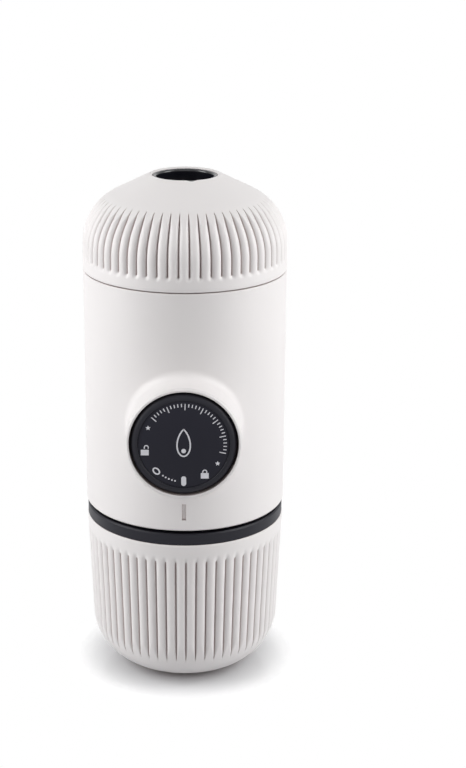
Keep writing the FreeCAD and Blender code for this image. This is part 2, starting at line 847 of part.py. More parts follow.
os.makedirs("parts", exist_ok=True)
for make in nodes:
    shape = make()
    shape.exportStep("parts/" + make.__name__ + ".step")
    print(make.__name__, len(shape.Solids), "solids", round(shape.Volume, 1), "mm3, valid", shape.isValid())
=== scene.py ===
import math
import bpy
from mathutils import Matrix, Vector


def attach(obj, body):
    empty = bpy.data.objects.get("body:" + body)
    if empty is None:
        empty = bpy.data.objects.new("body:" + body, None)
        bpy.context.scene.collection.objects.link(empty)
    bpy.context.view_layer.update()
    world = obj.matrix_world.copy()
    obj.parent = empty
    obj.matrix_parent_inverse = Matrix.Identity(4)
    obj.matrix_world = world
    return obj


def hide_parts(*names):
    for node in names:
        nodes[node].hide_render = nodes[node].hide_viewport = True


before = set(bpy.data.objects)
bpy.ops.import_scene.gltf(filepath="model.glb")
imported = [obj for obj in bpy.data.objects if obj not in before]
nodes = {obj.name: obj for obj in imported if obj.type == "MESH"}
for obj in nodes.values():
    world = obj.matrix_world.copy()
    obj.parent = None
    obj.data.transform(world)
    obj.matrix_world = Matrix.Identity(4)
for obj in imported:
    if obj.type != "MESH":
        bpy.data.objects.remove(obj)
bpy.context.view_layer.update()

mm = 0.001
tau = 2 * math.pi
print("frame loaded:", len(nodes), "nodes")


# Camera, matched to the photograph
cameraLook = {"distance": 0.5137, "height": 0.2612, "pitchDown": 18.36, "azimuth": 0.55, "lens": 82.36,
              "shiftX": 0.0625}


def addCamera():
    look = cameraLook
    turn = math.radians(look["azimuth"])
    bpy.ops.object.camera_add(
        location=(look["distance"] * math.sin(turn), -look["distance"] * math.cos(turn), look["height"]),
        rotation=(math.radians(90 - look["pitchDown"]), 0, turn))
    camera = bpy.context.object
    camera.name = "photoCamera"
    camera.data.lens = look["lens"]
    camera.data.sensor_width = 36
    camera.data.shift_x = look["shiftX"]
    bpy.context.scene.camera = camera


# Shared shader helpers

def addNode(tree, kind, **values):
    node = tree.nodes.new(kind)
    for name, value in values.items():
        setattr(node, name, value)
    return node


def mixFloat(tree, low, high, factor):
    node = addNode(tree, "ShaderNodeMapRange")
    node.inputs["To Min"].default_value = low
    node.inputs["To Max"].default_value = high
    tree.links.new(factor, node.inputs["Value"])
    return node.outputs["Result"]


surfaceLook = {
    "cloudScale": 28, "cloudDetail": 3, "smudgeScale": 90, "smudgeDetail": 5, "grainDetail": 2,
    # the shade values below set the painted shade that darkens hollows
    "paintedShadeReach": 0.0022, "paintedShadeSamples": 8, "paintedShadeFrom": 0.75, "paintedShadeTo": 0.3,
    "scratchDetail": 4, "scratchDark": 0.9, "scratchLight": 1.05, "noiseLow": 0.3, "noiseHigh": 0.7,
}


def addSockets(face, inputs):
    # What every shared surface takes and puts out
    for name, kind, value in inputs:
        face.new_socket(name=name, in_out="INPUT", socket_type=kind).default_value = value
    for name, kind in (("Colour", "NodeSocketColor"), ("Roughness", "NodeSocketFloat"),
                       ("Height", "NodeSocketFloat")):
        face.new_socket(name=name, in_out="OUTPUT", socket_type=kind)


def variedGloss(tree, inside, noise):
    # Roughness between the group's two gloss values, by a noise
    gloss = addNode(tree, "ShaderNodeMapRange")
    gloss.inputs["From Min"].default_value = surfaceLook["noiseLow"]
    gloss.inputs["From Max"].default_value = surfaceLook["noiseHigh"]
    tree.links.new(noise, gloss.inputs["Value"])
    tree.links.new(inside.outputs["Gloss Low"], gloss.inputs["To Min"])
    tree.links.new(inside.outputs["Gloss High"], gloss.inputs["To Max"])
    return gloss.outputs["Result"]


def mouldedGroup():
    # Moulded plastic: cloudy tone, fine grain, a varied gloss, and painted shade: a warm darkening deep in
    # hollows, from ambient occlusion
    look = surfaceLook
    tree = bpy.data.node_groups.new("mouldedSurface", "ShaderNodeTree")
    addSockets(tree.interface, (
        ("Colour", "NodeSocketColor", (1, 1, 1, 1)), ("Tone Spread", "NodeSocketFloat", 0.04),
        ("Gloss Low", "NodeSocketFloat", 0.35), ("Gloss High", "NodeSocketFloat", 0.5),
        ("Grain Scale", "NodeSocketFloat", 900.0), ("Painted Hollow Shade", "NodeSocketColor", (0.66, 0.57, 0.56, 1))))
    inside = addNode(tree, "NodeGroupInput")
    outside = addNode(tree, "NodeGroupOutput")
    place = addNode(tree, "ShaderNodeTexCoord")
    cloud = addNode(tree, "ShaderNodeTexNoise")
    cloud.inputs["Scale"].default_value = look["cloudScale"]
    cloud.inputs["Detail"].default_value = look["cloudDetail"]
    smudge = addNode(tree, "ShaderNodeTexNoise")
    smudge.inputs["Scale"].default_value = look["smudgeScale"]
    smudge.inputs["Detail"].default_value = look["smudgeDetail"]
    grain = addNode(tree, "ShaderNodeTexNoise")
    grain.inputs["Detail"].default_value = look["grainDetail"]
    for texture in (cloud, smudge, grain):
        tree.links.new(place.outputs["Object"], texture.inputs["Vector"])
    tree.links.new(inside.outputs["Grain Scale"], grain.inputs["Scale"])
    spread = addNode(tree, "ShaderNodeMath", operation="MULTIPLY_ADD")
    tree.links.new(cloud.outputs["Fac"], spread.inputs[0])
    tree.links.new(inside.outputs["Tone Spread"], spread.inputs[1])
    lift = addNode(tree, "ShaderNodeMath", operation="MULTIPLY_ADD")  # keeps the mean tone at 1
    tree.links.new(inside.outputs["Tone Spread"], lift.inputs[0])
    lift.inputs[1].default_value = -0.5
    lift.inputs[2].default_value = 1
    tree.links.new(lift.outputs[0], spread.inputs[2])
    tone = addNode(tree, "ShaderNodeHueSaturation")
    tree.links.new(inside.outputs["Colour"], tone.inputs["Color"])
    tree.links.new(spread.outputs[0], tone.inputs["Value"])
    # painted shade: ambient occlusion multiplies the colour by a warm dark tone in hollows and valleys
    paintedShadeOcclusion = addNode(tree, "ShaderNodeAmbientOcclusion")
    paintedShadeOcclusion.samples = look["paintedShadeSamples"]
    paintedShadeOcclusion.inputs["Distance"].default_value = look["paintedShadeReach"]
    paintedShadeAmount = addNode(tree, "ShaderNodeMapRange")
    paintedShadeAmount.inputs["From Min"].default_value = look["paintedShadeFrom"]
    paintedShadeAmount.inputs["From Max"].default_value = look["paintedShadeTo"]
    tree.links.new(paintedShadeOcclusion.outputs["AO"], paintedShadeAmount.inputs["Value"])
    paintedShade = addNode(tree, "ShaderNodeMix", data_type="RGBA", blend_type="MULTIPLY")
    tree.links.new(paintedShadeAmount.outputs["Result"], paintedShade.inputs[0])
    tree.links.new(tone.outputs["Color"], paintedShade.inputs[6])
    tree.links.new(inside.outputs["Painted Hollow Shade"], paintedShade.inputs[7])
    tree.links.new(paintedShade.outputs[2], outside.inputs["Colour"])
    tree.links.new(variedGloss(tree, inside, smudge.outputs["Fac"]), outside.inputs["Roughness"])
    tree.links.new(grain.outputs["Fac"], outside.inputs["Height"])
    return tree


def brushedGroup():
    # Brushed or turned metal: long fine scratches that vary the gloss
    look = surfaceLook
    tree = bpy.data.node_groups.new("brushedSurface", "ShaderNodeTree")
    addSockets(tree.interface, (
        ("Colour", "NodeSocketColor", (1, 1, 1, 1)), ("Stretch", "NodeSocketVector", (400, 400, 9000)),
        ("Gloss Low", "NodeSocketFloat", 0.2), ("Gloss High", "NodeSocketFloat", 0.4)))
    inside = addNode(tree, "NodeGroupInput")
    outside = addNode(tree, "NodeGroupOutput")
    place = addNode(tree, "ShaderNodeTexCoord")
    stretched = addNode(tree, "ShaderNodeVectorMath", operation="MULTIPLY")
    tree.links.new(place.outputs["Object"], stretched.inputs[0])
    tree.links.new(inside.outputs["Stretch"], stretched.inputs[1])
    lines = addNode(tree, "ShaderNodeTexNoise")
    lines.inputs["Scale"].default_value = 1
    lines.inputs["Detail"].default_value = look["scratchDetail"]
    tree.links.new(stretched.outputs[0], lines.inputs["Vector"])
    tone = addNode(tree, "ShaderNodeHueSaturation")
    tree.links.new(inside.outputs["Colour"], tone.inputs["Color"])
    tree.links.new(mixFloat(tree, look["scratchDark"], look["scratchLight"], lines.outputs["Fac"]),
                   tone.inputs["Value"])
    tree.links.new(tone.outputs["Color"], outside.inputs["Colour"])
    tree.links.new(variedGloss(tree, inside, lines.outputs["Fac"]), outside.inputs["Roughness"])
    tree.links.new(lines.outputs["Fac"], outside.inputs["Height"])
    return tree


surfaces = {"moulded": mouldedGroup(), "brushed": brushedGroup()}


def finish(name, look):
    # A material from one of the shared surfaces. Values that are the same all over go on the shader itself.
    material = bpy.data.materials.new(name)
    material.use_nodes = True
    tree = material.node_tree
    shader = tree.nodes["Principled BSDF"]
    group = addNode(tree, "ShaderNodeGroup", node_tree=surfaces[look["surface"]])
    for socket, value in look["values"].items():
        group.inputs[socket].default_value = value
    for socket, value in look.get("shader", {}).items():
        shader.inputs[socket].default_value = value
    bump = addNode(tree, "ShaderNodeBump")
    bump.inputs["Strength"].default_value = look["bump"]
    bump.inputs["Distance"].default_value = look["depth"] * mm
    tree.links.new(group.outputs["Height"], bump.inputs["Height"])
    tree.links.new(group.outputs["Colour"], shader.inputs["Base Color"])
    tree.links.new(group.outputs["Roughness"], shader.inputs["Roughness"])
    tree.links.new(bump.outputs["Normal"], shader.inputs["Normal"])
    return material


finishes = {
    "satinWhite": {"surface": "moulded", "bump": 0.12, "depth": 0.03,
                   "values": {"Colour": (0.80, 0.775, 0.77, 1), "Tone Spread": 0.03, "Gloss Low": 0.36,
                              "Gloss High": 0.46, "Grain Scale": 2600},
                   "shader": {"Specular IOR Level": 0.4}},
    "charcoal": {"surface": "moulded", "bump": 0.2, "depth": 0.03,
                 "values": {"Colour": (0.010, 0.010, 0.016, 1), "Tone Spread": 0.1, "Gloss Low": 0.36,
                            "Gloss High": 0.5, "Grain Scale": 2200},
                 "shader": {"Specular IOR Level": 0.25}},
    "dialFace": {"surface": "moulded", "bump": 0.2, "depth": 0.03,
                 "values": {"Colour": (0.010, 0.010, 0.018, 1), "Tone Spread": 0.12, "Gloss Low": 0.42,
                            "Gloss High": 0.52, "Grain Scale": 2400},
                 "shader": {"Specular IOR Level": 0.2}},
    "glossBlack": {"surface": "moulded", "bump": 0.05, "depth": 0.02,
                   "values": {"Colour": (0.008, 0.008, 0.012, 1), "Tone Spread": 0.1, "Gloss Low": 0.12,
                              "Gloss High": 0.22, "Grain Scale": 1400}},
    "smokePlastic": {"surface": "moulded", "bump": 0.05, "depth": 0.02,
                     "values": {"Colour": (0.03, 0.03, 0.034, 1), "Tone Spread": 0.1, "Gloss Low": 0.18,
                                "Gloss High": 0.3, "Grain Scale": 1400}},
    "greyChassis": {"surface": "moulded", "bump": 0.2, "depth": 0.04,
                    "values": {"Colour": (0.09, 0.092, 0.1, 1), "Tone Spread": 0.08, "Gloss Low": 0.4,
                               "Gloss High": 0.6, "Grain Scale": 1600}},
    "pumpPlastic": {"surface": "moulded", "bump": 0.05, "depth": 0.02,
                    "values": {"Colour": (0.62, 0.6, 0.55, 1), "Tone Spread": 0.05, "Gloss Low": 0.2,
                               "Gloss High": 0.3, "Grain Scale": 1200}},
    "printWhite": {"surface": "moulded", "bump": 0.1, "depth": 0.01,
                   "values": {"Colour": (0.72, 0.72, 0.76, 1), "Tone Spread": 0.06, "Gloss Low": 0.4,
                              "Gloss High": 0.55, "Grain Scale": 3000}},
    "redSeal": {"surface": "moulded", "bump": 0.1, "depth": 0.03,
                "values": {"Colour": (0.32, 0.02, 0.015, 1), "Tone Spread": 0.08, "Gloss Low": 0.35,
                           "Gloss High": 0.5, "Grain Scale": 1500}},
    "milkySilicone": {"surface": "moulded", "bump": 0.1, "depth": 0.03,
                      "values": {"Colour": (0.6, 0.6, 0.58, 1), "Tone Spread": 0.06, "Gloss Low": 0.4,
                                 "Gloss High": 0.55, "Grain Scale": 1500},
                      "shader": {"Subsurface Weight": 0.2, "Subsurface Scale": 0.001}},
    "brushedSteel": {"surface": "brushed", "bump": 0.08, "depth": 0.02,
                     "values": {"Colour": (0.58, 0.57, 0.56, 1), "Gloss Low": 0.2, "Gloss High": 0.38},
                     "shader": {"Metallic": 1.0}},
}
materials = {name: finish(name, look) for name, look in finishes.items()}
print("materials made:", len(materials))


# Modelling helpers

def clearSelection():
    if bpy.context.object and bpy.context.object.mode != "OBJECT":
        bpy.ops.object.mode_set(mode="OBJECT")
    bpy.ops.object.select_all(action="DESELECT")


def endEditing(name, material, angle=35):
    # Leaves edit mode, puts the object's place in its mesh and shades it
    bpy.ops.object.mode_set(mode="OBJECT")
    piece = bpy.context.object
    piece.name = name
    piece.data.name = name
    bpy.ops.object.transform_apply(location=True, rotation=True, scale=True)
    piece.data.materials.clear()
    piece.data.materials.append(materials[material])
    bpy.ops.object.shade_smooth_by_angle(angle=math.radians(angle))
    return piece


def turnedShell(profile, columns):
    # Stacks rings by extruding and scaling the first circle. profile is a list of (radius, height) in metres.
    clearSelection()
    radius, height = profile[0]
    bpy.ops.mesh.primitive_circle_add(vertices=columns, radius=radius, location=(0, 0, height))
    bpy.ops.object.transform_apply(location=True, rotation=True, scale=True)
    bpy.ops.object.mode_set(mode="EDIT")
    bpy.ops.mesh.select_all(action="SELECT")
    for nextRadius, nextHeight in profile[1:]:
        bpy.ops.mesh.extrude_edges_move(TRANSFORM_OT_translate={"value": (0, 0, nextHeight - height)})
        grow = nextRadius / radius
        bpy.ops.transform.resize(value=(grow, grow, 1), center_override=(0, 0, nextHeight))
        radius, height = nextRadius, nextHeight


def closeLoop(capEnds):
    # Closes the open rings with flat caps, or joins the last ring to the first
    bpy.ops.mesh.select_all(action="DESELECT")
    bpy.ops.mesh.select_mode(type="VERT")
    bpy.ops.mesh.select_non_manifold()
    if capEnds:
        bpy.ops.mesh.edge_face_add()
    else:
        bpy.ops.mesh.bridge_edge_loops()
    bpy.ops.mesh.select_all(action="SELECT")
    bpy.ops.mesh.remove_doubles(threshold=1e-7)
    bpy.ops.mesh.normals_make_consistent(inside=False)


def arcPoints(centreR, centreZ, radius, fromAngle, toAngle, steps):
    points = []
    for i in range(steps + 1):
        angle = math.radians(fromAngle + (toAngle - fromAngle) * i / steps)
        points.append((centreR + radius * math.cos(angle), centreZ + radius * math.sin(angle)))
    return points


def linePoints(start, end, steps):
    return [(start[0] + (end[0] - start[0]) * i / steps, start[1] + (end[1] - start[1]) * i / steps)
            for i in range(1, steps + 1)]


def smoothCopy(node, name, material, angle=30):
    # Merged and smoothly shaded copy of a CAD node, which it then stands for
    clearSelection()
    source = nodes[node]
    source.select_set(True)
    bpy.context.view_layer.objects.active = source
    bpy.ops.object.duplicate()
    piece = bpy.context.object
    piece.parent = None
    for key in list(piece.keys()):
        del piece[key]
    bpy.ops.object.mode_set(mode="EDIT")
    bpy.ops.mesh.select_all(action="SELECT")
    bpy.ops.mesh.remove_doubles(threshold=2e-6)
    bpy.ops.mesh.customdata_custom_splitnormals_clear()
    piece = endEditing(name, material, angle)
    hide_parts(node)
    return piece


# Flutes: the columns of a turned shell are pushed in where a valley runs

valleyLook = {"lineReach": 0.04, "lineEdge": 0.72, "lineSlope": 7.2}


def valley(across, beyond, halfWidth):
    # 1 on the valley's line, 0 on the crest of the rib beside it. The ribs are round lobes with narrow
    # valleys between, and a straight slope leads down to the line itself.
    distance = math.hypot(across, max(0.0, beyond)) / halfWidth
    if distance >= 1:
        return 0.0
    if distance > valleyLook["lineReach"]:
        return 1 - math.sqrt(1 - (1 - distance) ** 2)
    return valleyLook["lineEdge"] - valleyLook["lineSlope"] * (distance - valleyLook["lineReach"])


def acrossFlute(x, y, count, phase):
    # Signed distance along the wall from the nearest valley's line
    pitch = 360 / count
    turn = math.degrees(math.atan2(y, x)) + 90 - phase
    turn -= pitch * round(turn / pitch)
    return math.radians(turn) * math.hypot(x, y)


cupLook = {
    "flutes": 60, "columns": 960, "rimRadius": 30.55, "rimHeight": 49.85, "rimRound": 0.45,
    "heelRadius": 29.15, "cornerRadius": 17.0, "wall": 1.9, "floor": 2.2, "footRadius": 9.0, "footDepth": 0.5,
    "fluteTop": 46.6, "fluteDepth": 1.35, "fluteHalfWidth": 1.55, "endStretch": 0.5, "flutePhase": 1.125,
    "cornerSteps": 30, "wallSteps": 10, "endSteps": 12, "innerSteps": 12, "rimFrom": 18, "footBevel": 0.25,
    "footChamfer": 0.2, "plainBelow": 1.0, "wallMatch": 0.05,
}


def cupWall(height):
    # Radius of the cup's outer face, in mm, at a height above its foot
    look = cupLook
    if height < look["cornerRadius"]:
        down = look["cornerRadius"] - height
        reach = math.sqrt(max(0, look["cornerRadius"] ** 2 - down ** 2))
        return look["heelRadius"] - look["cornerRadius"] + reach
    return cupLine(height)


def cupLine(height):
    look = cupLook
    rise = (height - look["cornerRadius"]) / (look["rimHeight"] - look["cornerRadius"])
    return look["heelRadius"] + (look["rimRadius"] - look["heelRadius"]) * rise


def drinkingCup():
    look = cupLook
    centre = look["heelRadius"] - look["cornerRadius"]
    edge = look["rimRound"]
    endLow = look["fluteTop"] - 2 * look["fluteHalfWidth"] / look["endStretch"]
    profile = [(look["footRadius"] - look["footChamfer"], look["footDepth"]),
               (look["footRadius"], look["footDepth"] - look["footChamfer"]),
               (look["footRadius"], look["footBevel"]), (look["footRadius"] + look["footBevel"], 0)]
    profile += arcPoints(centre, look["cornerRadius"], look["cornerRadius"], -90, 0, look["cornerSteps"])
    profile += linePoints(profile[-1], (cupLine(endLow), endLow), look["wallSteps"])
    profile += linePoints(profile[-1], (cupLine(look["fluteTop"]), look["fluteTop"]), look["endSteps"])
    profile += [(cupLine(look["rimHeight"] - edge), look["rimHeight"] - edge)]
    profile += arcPoints(look["rimRadius"] - edge, look["rimHeight"] - edge, edge, look["rimFrom"], 90, 4)
    inside = look["rimRadius"] - look["wall"]
    profile += arcPoints(inside + edge, look["rimHeight"] - edge, edge, 90, 180, 5)
    innerCorner = look["cornerRadius"] - look["wall"]
    profile += linePoints(profile[-1], (look["heelRadius"] - look["wall"], look["floor"] + innerCorner), 6)
    profile += arcPoints(centre, look["floor"] + innerCorner, innerCorner, 0, -90, look["innerSteps"])[1:]
    turnedShell([(r * mm, z * mm) for r, z in profile], look["columns"])
    closeLoop(capEnds=True)
    bpy.ops.object.mode_set(mode="OBJECT")
    for vertex in bpy.context.object.data.vertices:
        x, y, z = (c / mm for c in vertex.co)
        radius = math.hypot(x, y)
        if z < look["plainBelow"] or abs(radius - cupWall(z)) > look["wallMatch"]:
            continue
        depth = look["fluteDepth"] * valley(acrossFlute(x, y, look["flutes"], look["flutePhase"]),
                                            (z - look["fluteTop"]) * look["endStretch"] + look["fluteHalfWidth"],
                                            look["fluteHalfWidth"])
        grow = min(1.0, (cupLine(z) - depth) / radius) if depth else 1.0
        vertex.co.x *= grow
        vertex.co.y *= grow
    cup = endEditing("ribbedCup", "satinWhite", 40)
    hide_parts("drinking_cup")
    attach(cup, "cup")


domeLook = {
    "flutes": 60, "columns": 960, "radius": 30.7, "bottom": 128.1, "top": 156.5, "wall": 1.8,
    "shoulderRadius": 16.4, "crownSlope": 26.6, "crestRadius": 10.4, "recessRadius": 9.75, "rimDrop": 0.55,
    "fluteBottom": 130.9, "fluteDepth": 1.35, "fluteHalfWidth": 1.6, "fluteTurn": 33.0, "flutePhase": 3.0,
    "bottomEdge": 0.3, "endSteps": 12, "sideSteps": 6, "shoulderSteps": 34, "crownSteps": 8,
    "notchWidth": 4.5, "notchReach": 10.86, "notchAngle": 11.3, "notchLength": 12,
    "lip": [(0.18, -0.1), (0, -0.05), (-0.18, -0.06), (-0.34, -0.13)],  # from the crest, right and up
    "recessEdge": [(0.14, -0.27), (0.04, -0.4)],  # from the recess wall and the top
    "slopeEnd": (0.36, -0.18), "sideMatch": 0.05, "shoulderMatch": 0.02,
}


def domeStart():
    look = domeLook
    turn = math.radians(90 - look["crownSlope"])
    centre = look["radius"] - look["shoulderRadius"]
    rise = math.tan(math.radians(look["crownSlope"]))
    endR = centre + look["shoulderRadius"] * math.cos(turn)
    return look["top"] - look["shoulderRadius"] * math.sin(turn) - (endR - look["crestRadius"]) * rise


def tankDome():
    look = domeLook
    start = domeStart()
    turn = 90 - look["crownSlope"]
    centre = look["radius"] - look["shoulderRadius"]
    edge = look["bottomEdge"]
    endHigh = look["fluteBottom"] + 2 * look["fluteHalfWidth"]
    profile = arcPoints(look["radius"] - edge, look["bottom"] + edge, edge, -90, 0, 3)
    profile += linePoints(profile[-1], (look["radius"], look["fluteBottom"]), 2)
    profile += linePoints(profile[-1], (look["radius"], endHigh), look["endSteps"])
    profile += linePoints(profile[-1], (look["radius"], start), look["sideSteps"])
    profile += arcPoints(centre, start, look["shoulderRadius"], 0, turn, look["shoulderSteps"])[1:]
    slopeEnd = (look["crestRadius"] + look["slopeEnd"][0], look["top"] + look["slopeEnd"][1])
    profile += linePoints(profile[-1], slopeEnd, look["crownSteps"])
    profile += [(look["crestRadius"] + out, look["top"] + up) for out, up in look["lip"]]
    profile += [(look["recessRadius"] + out, look["top"] + up) for out, up in look["recessEdge"]]
    profile += [(look["recessRadius"], look["top"] - look["rimDrop"])]
    inner = look["shoulderRadius"] - look["wall"]
    innerEnd = (centre + inner * math.cos(math.radians(turn)), start + inner * math.sin(math.radians(turn)))
    rise = math.tan(math.radians(look["crownSlope"]))
    profile += [(look["recessRadius"], innerEnd[1] + (innerEnd[0] - look["recessRadius"]) * rise)]
    profile += arcPoints(centre, start, inner, turn, 0, 10)
    profile += [(look["radius"] - look["wall"], look["bottom"])]
    turnedShell([(r * mm, z * mm) for r, z in profile], look["columns"])
    closeLoop(capEnds=False)
    bpy.ops.object.mode_set(mode="OBJECT")
    for vertex in bpy.context.object.data.vertices:
        x, y, z = (c / mm for c in vertex.co)
        radius = math.hypot(x, y)
        share = valley(acrossFlute(x, y, look["flutes"], look["flutePhase"]),
                       look["fluteBottom"] + look["fluteHalfWidth"] - z, look["fluteHalfWidth"])
        if not share:
            continue
        if z <= start and radius > look["radius"] - look["sideMatch"]:
            vertex.co.x *= 1 - look["fluteDepth"] * share / radius
            vertex.co.y *= 1 - look["fluteDepth"] * share / radius
        elif z > start:
            outR, outZ = radius - centre, z - start
            reach = math.hypot(outR, outZ)
            angle = math.degrees(math.atan2(outZ, outR))
            if abs(reach - look["shoulderRadius"]) > look["shoulderMatch"] or angle > turn:
                continue
            floorReach = reach - look["fluteDepth"] * share
            if angle > look["fluteTurn"]:
                floorReach /= math.cos(math.radians(angle - look["fluteTurn"]))
            if floorReach < reach:
                newR = centre + outR * floorReach / reach
                vertex.co.x *= newR / radius
                vertex.co.y *= newR / radius
                vertex.co.z = (start + outZ * floorReach / reach) * mm
    dome = endEditing("tankDome", "satinWhite", 40)
    notch = notchCutter()
    carve = dome.modifiers.new("notch", "BOOLEAN")
    carve.object = notch
    carve.solver = "EXACT"
    clearSelection()
    dome.select_set(True)
    bpy.context.view_layer.objects.active = dome
    bpy.ops.object.modifier_apply(modifier=carve.name)
    bpy.data.objects.remove(notch)
    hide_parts("tank_shell")
    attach(dome, "tank")


guardLook = {
    "reach": 10.12, "neck": 9.68, "ring": 8.5, "under": 148.52, "floor": 149.6, "low": 147.64, "shoulder": 154.6,
    "top": 156.05, "edge": 0.3, "columns": 144, "turn": 11.3,
    "petals": 6, "petalTip": 7.9, "petalRoot": 2.6, "petalHeight": 2.6, "petalBevel": 0.5,
    "keyWidth": 4.1, "keyReach": 10.75, "keyTop": 156.2, "keyDepth": 1.6, "keySlope": 0.35, "keyInset": 0.3,
    "keyBevel": 0.3, "mouth": 0.66, "floorRound": 0.9, "stemHole": 0.6, "petalSink": 0.1, "shoulderStep": 0.25,
}


def ventGuard():
    # Polished insert of the crown: a ring up to the rim, a plate with bevelled petals, and the key in the
    # rim's notch
    look = guardLook
    edge = look["edge"]
    profile = [(look["ring"], look["low"]), (look["reach"], look["low"]), (look["reach"], look["shoulder"]),
               (look["neck"], look["shoulder"] + look["shoulderStep"])]
    profile += linePoints(profile[-1], (look["neck"], look["top"] - edge), 2)
    profile += arcPoints(look["neck"] - edge, look["top"] - edge, edge, 0, 90, 5)[1:]
    profile += arcPoints(look["ring"] + look["mouth"], look["top"] - look["mouth"], look["mouth"], 90, 180, 8)
    corner = look["floorRound"]
    profile += linePoints(profile[-1], (look["ring"], look["floor"] + corner), 3)
    profile += arcPoints(look["ring"] - corner, look["floor"] + corner, corner, 0, -90, 8)[1:]
    profile += [(look["stemHole"], look["floor"]), (look["stemHole"], look["under"]),
                (look["ring"], look["under"])]
    turnedShell([(r * mm, z * mm) for r, z in profile], look["columns"])
    closeLoop(capEnds=False)
    bpy.ops.object.mode_set(mode="OBJECT")
    ring = bpy.context.object
    pieces = [ring, guardPetals(), guardKey()]
    clearSelection()
    for piece in pieces:
        piece.select_set(True)
    bpy.context.view_layer.objects.active = ring
    bpy.ops.object.join()
    guard = endEditing("ventGuard", "glossBlack", 35)
    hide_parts("vent_guard")
    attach(guard, "tank")


def guardPetals():
    look = guardLook
    count = 2 * look["petals"]
    clearSelection()
    bpy.ops.mesh.primitive_circle_add(vertices=count, radius=1, fill_type="NGON", location=(0, 0, 0))
    star = bpy.context.object
    for i, vertex in enumerate(star.data.vertices):
        reach = look["petalTip"] if i % 2 == 0 else look["petalRoot"]
        angle = tau * i / count + math.radians(look["turn"])
        vertex.co = (reach * mm * math.cos(angle), reach * mm * math.sin(angle),
                     (look["floor"] - look["petalSink"]) * mm)
    bpy.ops.object.mode_set(mode="EDIT")
    bpy.ops.mesh.select_all(action="SELECT")
    bpy.ops.mesh.extrude_region_move(TRANSFORM_OT_translate={"value": (0, 0, look["petalHeight"] * mm)})
    bpy.ops.mesh.select_all(action="SELECT")
    bpy.ops.mesh.normals_make_consistent(inside=False)
    bpy.ops.mesh.bevel(offset=look["petalBevel"] * mm, segments=4, affect="EDGES")
    bpy.ops.object.mode_set(mode="OBJECT")
    return star


def guardKey():
    look = guardLook
    clearSelection()
    bpy.ops.mesh.primitive_cube_add(size=1, location=(0, 0, 0))
    key = bpy.context.object
    inner = look["ring"] + look["keyInset"]
    for vertex in key.data.vertices:
        x, y, z = vertex.co
        reach = look["keyReach"] if x > 0 else inner
        top = look["keyTop"] - (look["keySlope"] if x > 0 else 0.0)
        height = top if z > 0 else look["keyTop"] - look["keyDepth"]
        vertex.co = (reach * mm, y * look["keyWidth"] * mm, height * mm)
    bpy.ops.object.mode_set(mode="EDIT")
    bpy.ops.mesh.select_all(action="SELECT")
    bpy.ops.mesh.bevel(offset=look["keyBevel"] * mm, segments=4, affect="EDGES")
    bpy.ops.transform.rotate(value=math.radians(90 - look["turn"]), orient_axis="Z", center_override=(0, 0, 0))
    bpy.ops.object.mode_set(mode="OBJECT")
    return key


def notchCutter():
    # Round-ended cutter of the notch that shows the guard's key
    look = domeLook
    clearSelection()
    half = look["notchWidth"] / 2
    middle = look["notchReach"] - half
    angle = math.radians(look["notchAngle"] - 90)
    bpy.ops.mesh.primitive_cylinder_add(vertices=40, radius=half * mm, depth=look["notchLength"] * mm,
                                        location=(middle * math.cos(angle) * mm, middle * math.sin(angle) * mm,
                                                  look["top"] * mm))
    cutter = bpy.context.object
    bpy.ops.object.transform_apply(location=True, rotation=True, scale=True)
    return cutter


def bodyShell():
    shell = smoothCopy("body_shell", "bodyTube", "satinWhite", 30)
    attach(shell, "housing")


def bandAndHolder():
    holder = smoothCopy("portafilter", "filterHolder", "charcoal", 30)
    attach(holder, "portafilter")


knobLook = {
    "radius": 15.5, "front": 40.3, "back": -8.0, "wall": 1.9, "columns": 160, "rimRound": 2.0,
    "faceRadius": 13.2, "facePocket": 1.4, "faceThickness": 1.2, "web": 3.6, "height": 85.6,
    "lugs": 3, "lugLength": 4.0, "lugWidth": 5.0, "lugReach": 1.7, "endEdge": 0.2, "screwHole": 4.1,
    "faceGap": 0.06, "pocketEdge": [(0.1, -0.02), (0, -0.14)],
    "faceEdge": [(0, -0.12), (-0.04, -0.04), (-0.12, 0)],
}


def ontoPump():
    # Turns the active object from upright into the pump's direction
    piece = bpy.context.object
    piece.rotation_euler = (math.radians(90), 0, 0)
    piece.location = (0, 0, knobLook["height"] * mm)
    bpy.ops.object.transform_apply(location=True, rotation=True, scale=True)
    return piece


def knobSleeve():
    look = knobLook
    front, back, radius = look["front"], look["back"], look["radius"]
    pocket = look["faceRadius"] + look["faceGap"]
    floor = front - look["facePocket"]
    inner = radius - look["wall"]
    edge = look["endEdge"]
    profile = [(inner, back + edge), (inner + edge, back), (radius - edge, back), (radius, back + edge),
               (radius, back + look["lugLength"])]
    profile += linePoints(profile[-1], (radius, front - look["rimRound"]), 8)
    profile += arcPoints(radius - look["rimRound"], front - look["rimRound"], look["rimRound"], 0, 90, 12)[1:]
    profile += [(pocket + out, front + up) for out, up in look["pocketEdge"]]
    profile += [(pocket, floor), (look["screwHole"], floor), (look["screwHole"], floor - look["web"]),
                (inner, floor - look["web"])]
    turnedShell([(r * mm, z * mm) for r, z in profile], look["columns"])
    closeLoop(capEnds=False)
    raiseLugs()
    bpy.ops.object.mode_set(mode="OBJECT")
    ontoPump()
    sleeve = endEditing("knobSleeve", "charcoal", 30)
    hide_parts("knob_sleeve")
    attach(sleeve, "plunger")


